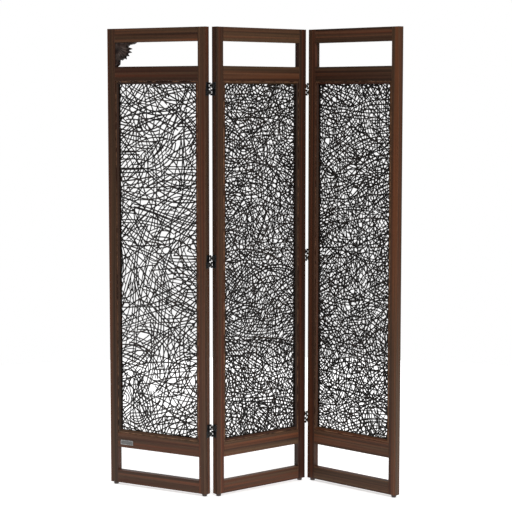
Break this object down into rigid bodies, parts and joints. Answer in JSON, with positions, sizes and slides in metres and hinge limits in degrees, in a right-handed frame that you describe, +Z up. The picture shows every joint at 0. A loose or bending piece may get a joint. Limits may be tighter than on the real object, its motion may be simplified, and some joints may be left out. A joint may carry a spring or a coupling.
{
  "type": "folding screen",
  "caption": "Folding screen of dark wooden frames with woven cane fields and open slots, joined by double-action hinges so that it stands in a zigzag or folds flat.",
  "frame": {"origin": "on the floor under the centre of the bounding box", "axes": "+X along the screen, from the left panel to the right panel; +Y from the front towards the back; +Z up"},
  "size_m": [1.12, 0.3282, 1.784],
  "materials": {
    "stained_wood": "satin dark brown stain over straight grain",
    "bead_wood": "satin dark brown stain",
    "carved_wood": "satin dark brown stain on carving",
    "woven_cane": "near-black stained woven cane, dull",
    "black_hinge_metal": "satin black lacquer",
    "glide_plastic": "smooth dark brown dome",
    "silver_plate": "brushed silver-grey, blank"
  },
  "bodies": {
    "middle_panel": {"left_hinge_bottom_leaf_right": "black_hinge_metal", "left_hinge_middle_leaf_right": "black_hinge_metal", "left_hinge_top_leaf_right": "black_hinge_metal", "middle_panel_back_bead": "bead_wood", "middle_panel_bottom_rail": "stained_wood", "middle_panel_front_bead": "bead_wood", "middle_panel_left_foot": "glide_plastic", "middle_panel_left_stile": "stained_wood", "middle_panel_lower_rail": "stained_wood", "middle_panel_right_foot": "glide_plastic", "middle_panel_right_stile": "stained_wood", "middle_panel_second_rail": "stained_wood", "middle_panel_top_rail": "stained_wood", "middle_panel_weave": "woven_cane", "right_hinge_bottom_leaf_left": "black_hinge_metal", "right_hinge_middle_leaf_left": "black_hinge_metal", "right_hinge_top_leaf_left": "black_hinge_metal"},
    "left_panel": {"left_hinge_bottom_leaf_left": "black_hinge_metal", "left_hinge_middle_leaf_left": "black_hinge_metal", "left_hinge_top_leaf_left": "black_hinge_metal", "left_panel_back_bead": "bead_wood", "left_panel_blank_plate": "silver_plate", "left_panel_bottom_rail": "stained_wood", "left_panel_carved_corner": "carved_wood", "left_panel_front_bead": "bead_wood", "left_panel_left_foot": "glide_plastic", "left_panel_left_stile": "stained_wood", "left_panel_lower_rail": "stained_wood", "left_panel_right_foot": "glide_plastic", "left_panel_right_stile": "stained_wood", "left_panel_second_rail": "stained_wood", "left_panel_top_rail": "stained_wood", "left_panel_weave": "woven_cane"},
    "right_panel": {"right_hinge_bottom_leaf_right": "black_hinge_metal", "right_hinge_middle_leaf_right": "black_hinge_metal", "right_hinge_top_leaf_right": "black_hinge_metal", "right_panel_back_bead": "bead_wood", "right_panel_bottom_rail": "stained_wood", "right_panel_front_bead": "bead_wood", "right_panel_left_foot": "glide_plastic", "right_panel_left_stile": "stained_wood", "right_panel_lower_rail": "stained_wood", "right_panel_right_foot": "glide_plastic", "right_panel_right_stile": "stained_wood", "right_panel_second_rail": "stained_wood", "right_panel_top_rail": "stained_wood", "right_panel_weave": "woven_cane"},
    "left_upper_links": {"left_hinge_bottom_upper_link": "black_hinge_metal", "left_hinge_middle_upper_link": "black_hinge_metal", "left_hinge_top_upper_link": "black_hinge_metal"},
    "left_lower_links": {"left_hinge_bottom_lower_link": "black_hinge_metal", "left_hinge_middle_lower_link": "black_hinge_metal", "left_hinge_top_lower_link": "black_hinge_metal"},
    "right_upper_links": {"right_hinge_bottom_upper_link": "black_hinge_metal", "right_hinge_middle_upper_link": "black_hinge_metal", "right_hinge_top_upper_link": "black_hinge_metal"},
    "right_lower_links": {"right_hinge_bottom_lower_link": "black_hinge_metal", "right_hinge_middle_lower_link": "black_hinge_metal", "right_hinge_top_lower_link": "black_hinge_metal"}
  },
  "joints": [
    {"name": "left_upper_link_turn", "type": "hinge", "parent": "middle_panel", "child": "left_upper_links", "pos_m": [-0.13983, -0.14392, 0.9], "axis": [0, 0, -1], "range_deg": [-3.08, 4.91]},
    {"name": "left_panel_fold", "type": "hinge", "parent": "left_upper_links", "child": "left_panel", "pos_m": [-0.15901, -0.12394, 0.9], "axis": [0, 0, -1], "range_deg": [-66, 106.17]},
    {"name": "left_lower_link_turn", "type": "hinge", "parent": "middle_panel", "child": "left_lower_links", "pos_m": [-0.15619, -0.12371, 0.9], "axis": [0, 0, -1], "range_deg": [-66.2, 106.37]},
    {"name": "right_upper_link_turn", "type": "hinge", "parent": "middle_panel", "child": "right_upper_links", "pos_m": [0.19602, 0.16149, 0.9], "axis": [0, 0, -1], "range_deg": [-3.34, 3.98]},
    {"name": "right_panel_fold", "type": "hinge", "parent": "right_upper_links", "child": "right_panel", "pos_m": [0.21487, 0.1412, 0.9], "axis": [0, 0, -1], "range_deg": [-78.74, 94.1]},
    {"name": "right_lower_link_turn", "type": "hinge", "parent": "middle_panel", "child": "right_lower_links", "pos_m": [0.21238, 0.14129, 0.9], "axis": [0, 0, -1], "range_deg": [-78.94, 94.3]}
  ],
  "couplings": [
    {"joint": "left_upper_link_turn", "follows": "left_panel_fold", "ratio": 0.045458},
    {"joint": "left_lower_link_turn", "follows": "left_panel_fold", "ratio": 1},
    {"joint": "right_upper_link_turn", "follows": "right_panel_fold", "ratio": 0.041399},
    {"joint": "right_lower_link_turn", "follows": "right_panel_fold", "ratio": 1}
  ]
}
